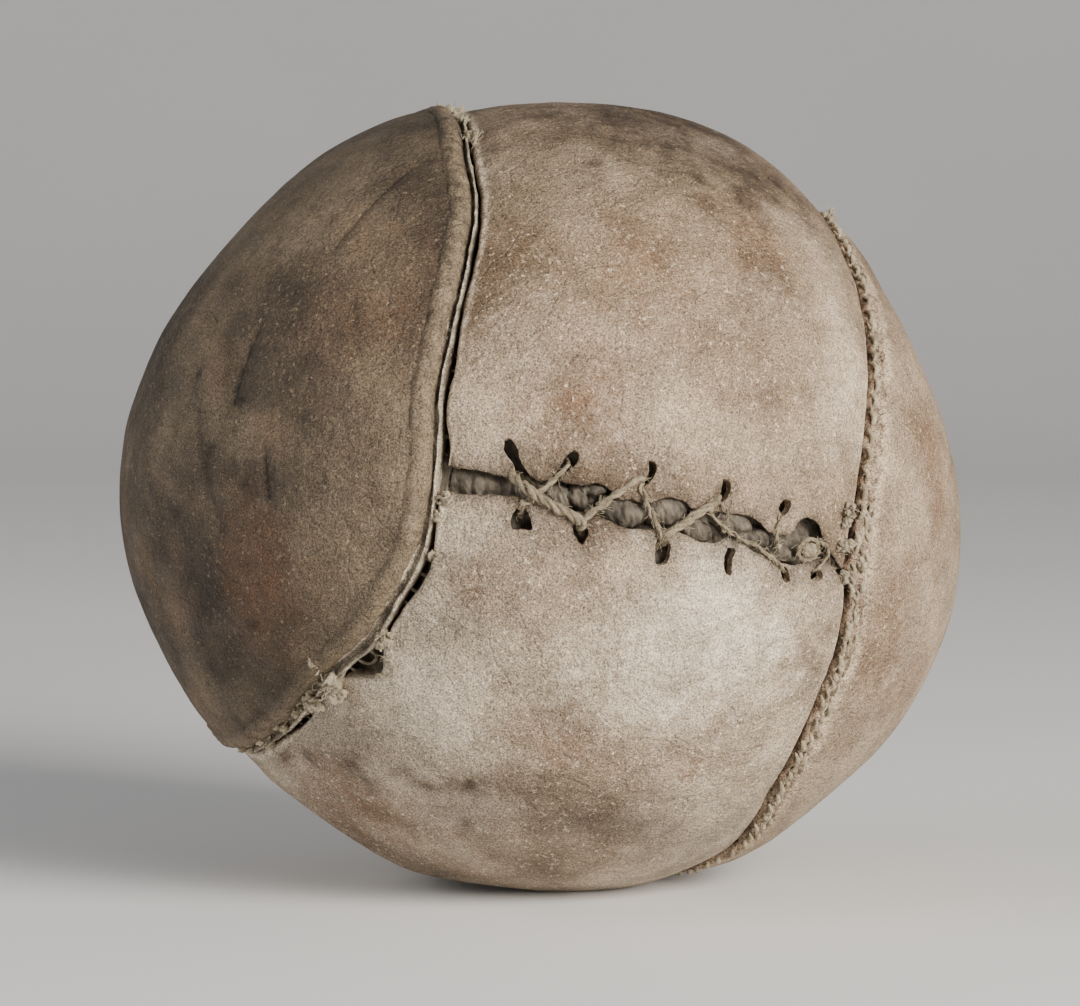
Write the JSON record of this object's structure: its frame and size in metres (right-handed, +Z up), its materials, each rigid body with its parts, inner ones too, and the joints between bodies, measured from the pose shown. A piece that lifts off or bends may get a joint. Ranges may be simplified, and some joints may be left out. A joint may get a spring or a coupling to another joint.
{
  "type": "laced leather ball",
  "caption": "Antique hand-sewn leather ball: two round end panels, a three-panel band, welted seams and a laced slit over a bladder, about 157 mm long",
  "frame": {"origin": "on the ground, under the middle of the ball", "axes": "+Z up; the laced slit faces -Y; the round end panels face -X and +X, with the +X end leaning down"},
  "size_m": [0.1564, 0.1514, 0.1479],
  "materials": {
    "end_leather": "matt, worn, darker",
    "band_leather": "matt, worn, pale grey-brown",
    "welt_leather": "rough cut edge",
    "waxed_thread": "twisted linen, waxed",
    "lacing_cord": "twisted linen cord, frayed",
    "bladder_skin": "dried skin, wrinkled"
  },
  "bodies": {
    "root": {"left_end_panel": "end_leather", "right_end_panel": "band_leather", "upper_body_panel": "band_leather", "lower_body_panel": "band_leather", "rear_body_panel": "band_leather", "left_welt": "welt_leather", "right_welt": "welt_leather", "left_seam_thread": "waxed_thread", "right_seam_thread": "waxed_thread", "top_seam_thread": "waxed_thread", "bottom_seam_thread": "waxed_thread", "lacing_cord": "lacing_cord", "bladder": "bladder_skin", "bladder_tie": "waxed_thread"}
  },
  "joints": []
}
